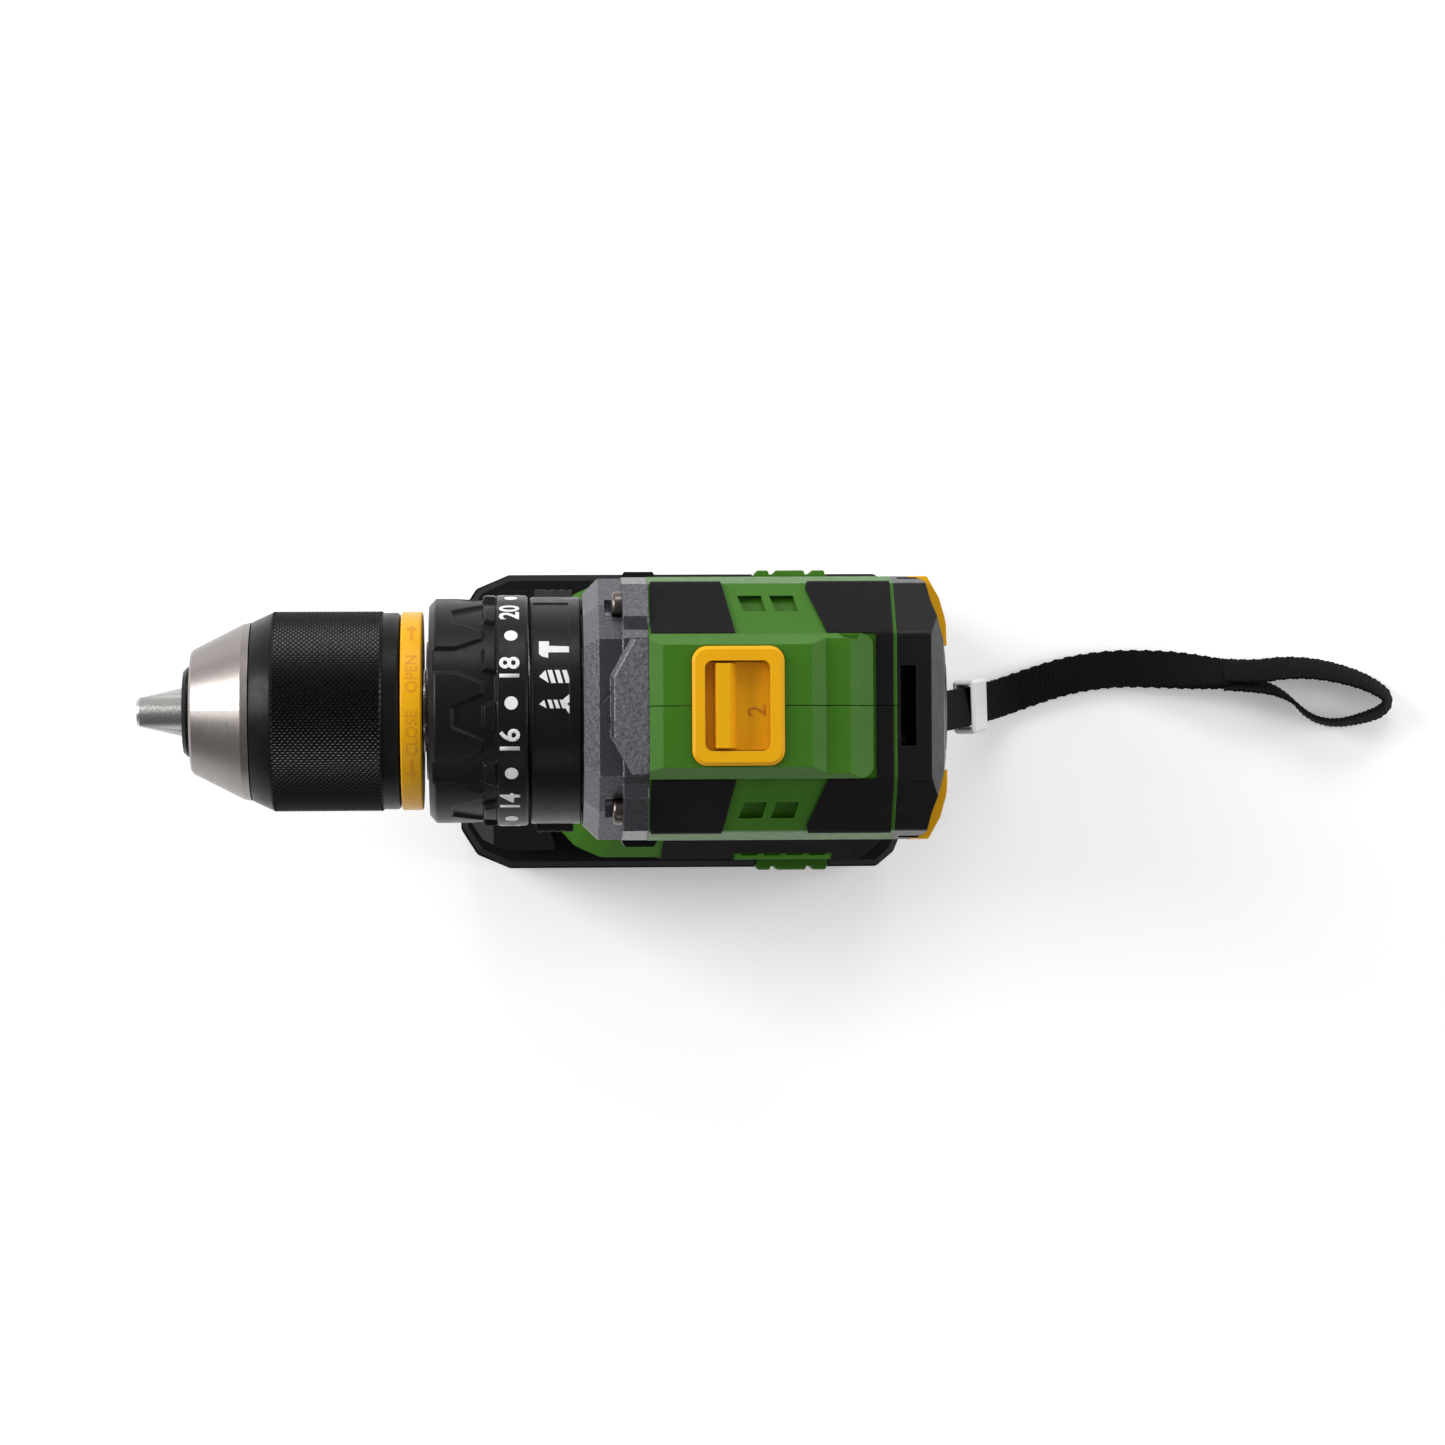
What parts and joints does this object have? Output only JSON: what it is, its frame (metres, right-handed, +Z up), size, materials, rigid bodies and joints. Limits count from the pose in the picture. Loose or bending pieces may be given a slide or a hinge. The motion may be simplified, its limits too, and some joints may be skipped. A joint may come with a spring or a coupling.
{
  "type": "cordless drill",
  "caption": "Compact cordless hammer drill with a keyless metal chuck, torque and mode collars, speed slider, trigger handle, slide-off battery pack and wrist strap.",
  "frame": {"origin": "centre of the battery pack's underside, on the surface the drill stands on", "axes": "+Z up, -X the way the chuck points, +Y the right side of someone holding the drill"},
  "size_m": [0.308, 0.0738, 0.2266],
  "materials": {
    "green_plastic": "moulded glass-filled nylon, leaf green",
    "black_plastic": "moulded, fine spark texture",
    "black_rubber": "soft overmoulded elastomer",
    "yellow_plastic": "moulded, semi-gloss",
    "satin_metal": "satin nickel plated",
    "black_steel": "black oxide, knurled",
    "jaw_steel": "ground hardened steel",
    "case_metal": "dark grey metallic paint on die-cast alloy",
    "steel": "machined",
    "bearing_steel": "polished",
    "lamination": "stacked electrical steel",
    "copper_winding": "enamelled copper wire",
    "screw_black": "black zinc",
    "lamp": "clear lens",
    "electronics": "circuit board",
    "cell_wrap": "shrink sleeve",
    "webbing": "woven nylon",
    "fan_brown": "moulded phenolic",
    "clip_grey": "moulded light grey"
  },
  "bodies": {
    "drill_body": {"housing_left": "green_plastic", "housing_right": "green_plastic", "overmould_left": "black_rubber", "overmould_right": "black_rubber", "housing_screws": "screw_black", "side_bumpers": "black_rubber", "rear_cap": "black_plastic", "rear_guards": "yellow_plastic", "selector_frame": "yellow_plastic", "gear_case": "case_metal", "gearbox_cover": "steel", "fixed_ring_gears": "steel", "ball_bearings": "bearing_steel", "hammer_ratchet_fixed": "steel", "clutch_spring": "steel", "stator_core": "lamination", "stator_windings": "copper_winding", "trigger_switch": "black_plastic", "work_light": "lamp", "tool_electronics": "electronics", "strap_tail": "webbing", "strap_loop": "webbing", "strap_clip": "clip_grey"},
    "rotor": {"rotor_shaft": "steel", "rotor_core": "lamination", "cooling_fan": "fan_brown"},
    "middle_stage": {"first_carrier": "steel", "middle_planets": "steel", "middle_carrier": "steel"},
    "shift_ring": {"shift_ring": "steel"},
    "output_stage": {"output_carrier": "steel", "output_spindle": "steel", "hammer_ratchet_rotating": "steel", "chuck_body": "black_steel", "chuck_nose_cone": "satin_metal", "chuck_thrust_bearing": "bearing_steel", "chuck_rear_ring": "yellow_plastic"},
    "chuck_sleeve": {"chuck_sleeve": "black_steel", "chuck_nut": "steel"},
    "torque_collar": {"torque_collar": "black_plastic"},
    "clutch_nut": {"clutch_nut": "steel"},
    "mode_collar": {"mode_collar": "black_plastic"},
    "speed_selector": {"speed_selector": "yellow_plastic", "shift_fork": "steel"},
    "trigger": {"trigger": "black_plastic"},
    "direction_lever": {"direction_lever": "black_plastic"},
    "battery_pack": {"battery_lower_case": "black_plastic", "battery_upper_case": "black_plastic", "battery_cells": "cell_wrap"},
    "release_button_left": {"release_button_left": "green_plastic"},
    "release_button_right": {"release_button_right": "green_plastic"},
    "first_planet_1": {"first_planet_1": "steel"},
    "output_planet_1": {"output_planet_1": "steel"},
    "chuck_jaw_1": {"chuck_jaw_1": "jaw_steel"},
    "first_planet_2": {"first_planet_2": "steel"},
    "output_planet_2": {"output_planet_2": "steel"},
    "chuck_jaw_2": {"chuck_jaw_2": "jaw_steel"},
    "first_planet_3": {"first_planet_3": "steel"},
    "output_planet_3": {"output_planet_3": "steel"},
    "chuck_jaw_3": {"chuck_jaw_3": "jaw_steel"}
  },
  "joints": [
    {"name": "motor_spin", "type": "hinge", "parent": "drill_body", "child": "rotor", "pos_m": [0.018, 0, 0.187], "axis": [1, 0, 0], "continuous": true},
    {"name": "middle_stage_spin", "type": "hinge", "parent": "drill_body", "child": "middle_stage", "pos_m": [-0.017, 0, 0.187], "axis": [1, 0, 0], "continuous": true},
    {"name": "output_spin", "type": "hinge", "parent": "drill_body", "child": "output_stage", "pos_m": [-0.05, 0, 0.187], "axis": [1, 0, 0], "continuous": true},
    {"name": "speed_selector_slide", "type": "slide", "parent": "drill_body", "child": "speed_selector", "axis": [1, 0, 0], "range_m": [0, 0.0045]},
    {"name": "shift_ring_slide", "type": "slide", "parent": "middle_stage", "child": "shift_ring", "axis": [1, 0, 0], "range_m": [0, 0.0045]},
    {"name": "chuck_sleeve_turn", "type": "hinge", "parent": "output_stage", "child": "chuck_sleeve", "pos_m": [-0.082, 0, 0.187], "axis": [-1, 0, 0], "range_deg": [0, 3600]},
    {"name": "torque_collar_turn", "type": "hinge", "parent": "drill_body", "child": "torque_collar", "pos_m": [-0.05, 0, 0.187], "axis": [1, 0, 0], "range_deg": [-288, 54]},
    {"name": "clutch_nut_slide", "type": "slide", "parent": "drill_body", "child": "clutch_nut", "axis": [1, 0, 0], "range_m": [-0.0049, 0.00095], "deforming": ["clutch_spring"]},
    {"name": "mode_collar_turn", "type": "hinge", "parent": "drill_body", "child": "mode_collar", "pos_m": [-0.033, 0, 0.187], "axis": [1, 0, 0], "range_deg": [0, 31]},
    {"name": "trigger_pull", "type": "slide", "parent": "drill_body", "child": "trigger", "axis": [1, 0, 0], "range_m": [0, 0.0065], "stiffness_N_per_m": 1200, "springref_m": -0.002},
    {"name": "direction_lever_slide", "type": "slide", "parent": "drill_body", "child": "direction_lever", "axis": [0, 1, 0], "range_m": [-0.003, 0.003]},
    {"name": "battery_slide", "type": "slide", "parent": "drill_body", "child": "battery_pack", "axis": [-1, 0, 0], "range_m": [0, 0.1]},
    {"name": "release_button_left_press", "type": "slide", "parent": "battery_pack", "child": "release_button_left", "axis": [0, 1, 0], "range_m": [0, 0.0025], "stiffness_N_per_m": 1500, "springref_m": -0.002},
    {"name": "release_button_right_press", "type": "slide", "parent": "battery_pack", "child": "release_button_right", "axis": [0, -1, 0], "range_m": [0, 0.0025], "stiffness_N_per_m": 1500, "springref_m": -0.002},
    {"name": "first_planet_1_spin", "type": "hinge", "parent": "middle_stage", "child": "first_planet_1", "pos_m": [-0.0096, 0, 0.1975], "axis": [1, 0, 0], "continuous": true},
    {"name": "output_planet_1_spin", "type": "hinge", "parent": "output_stage", "child": "output_planet_1", "pos_m": [-0.0246, 0, 0.1975], "axis": [1, 0, 0], "continuous": true},
    {"name": "chuck_jaw_1_slide", "type": "slide", "parent": "output_stage", "child": "chuck_jaw_1", "axis": [0.9659, 0, 0.2588], "range_m": [0, 0.02221]},
    {"name": "first_planet_2_spin", "type": "hinge", "parent": "middle_stage", "child": "first_planet_2", "pos_m": [-0.0096, -0.00909, 0.18175], "axis": [1, 0, 0], "continuous": true},
    {"name": "output_planet_2_spin", "type": "hinge", "parent": "output_stage", "child": "output_planet_2", "pos_m": [-0.0246, -0.00909, 0.18175], "axis": [1, 0, 0], "continuous": true},
    {"name": "chuck_jaw_2_slide", "type": "slide", "parent": "output_stage", "child": "chuck_jaw_2", "axis": [0.9659, -0.2241, -0.1294], "range_m": [0, 0.02221]},
    {"name": "first_planet_3_spin", "type": "hinge", "parent": "middle_stage", "child": "first_planet_3", "pos_m": [-0.0096, 0.00909, 0.18175], "axis": [1, 0, 0], "continuous": true},
    {"name": "output_planet_3_spin", "type": "hinge", "parent": "output_stage", "child": "output_planet_3", "pos_m": [-0.0246, 0.00909, 0.18175], "axis": [1, 0, 0], "continuous": true},
    {"name": "chuck_jaw_3_slide", "type": "slide", "parent": "output_stage", "child": "chuck_jaw_3", "axis": [0.9659, 0.2241, -0.1294], "range_m": [0, 0.02221]}
  ],
  "couplings": [
    {"joint": "middle_stage_spin", "follows": "motor_spin", "ratio": 0.25},
    {"joint": "output_spin", "follows": "motor_spin", "ratio": 0.0625},
    {"joint": "shift_ring_slide", "follows": "speed_selector_slide", "ratio": 1},
    {"joint": "clutch_nut_slide", "follows": "torque_collar_turn", "m_per_rad": 0.00095493},
    {"joint": "first_planet_1_spin", "follows": "motor_spin", "ratio": -0.75},
    {"joint": "output_planet_1_spin", "follows": "motor_spin", "ratio": -0.1875},
    {"joint": "chuck_jaw_1_slide", "follows": "chuck_sleeve_turn", "m_per_rad": 0.00035332},
    {"joint": "first_planet_2_spin", "follows": "motor_spin", "ratio": -0.75},
    {"joint": "output_planet_2_spin", "follows": "motor_spin", "ratio": -0.1875},
    {"joint": "chuck_jaw_2_slide", "follows": "chuck_sleeve_turn", "m_per_rad": 0.00035332},
    {"joint": "first_planet_3_spin", "follows": "motor_spin", "ratio": -0.75},
    {"joint": "output_planet_3_spin", "follows": "motor_spin", "ratio": -0.1875},
    {"joint": "chuck_jaw_3_slide", "follows": "chuck_sleeve_turn", "m_per_rad": 0.00035332}
  ]
}
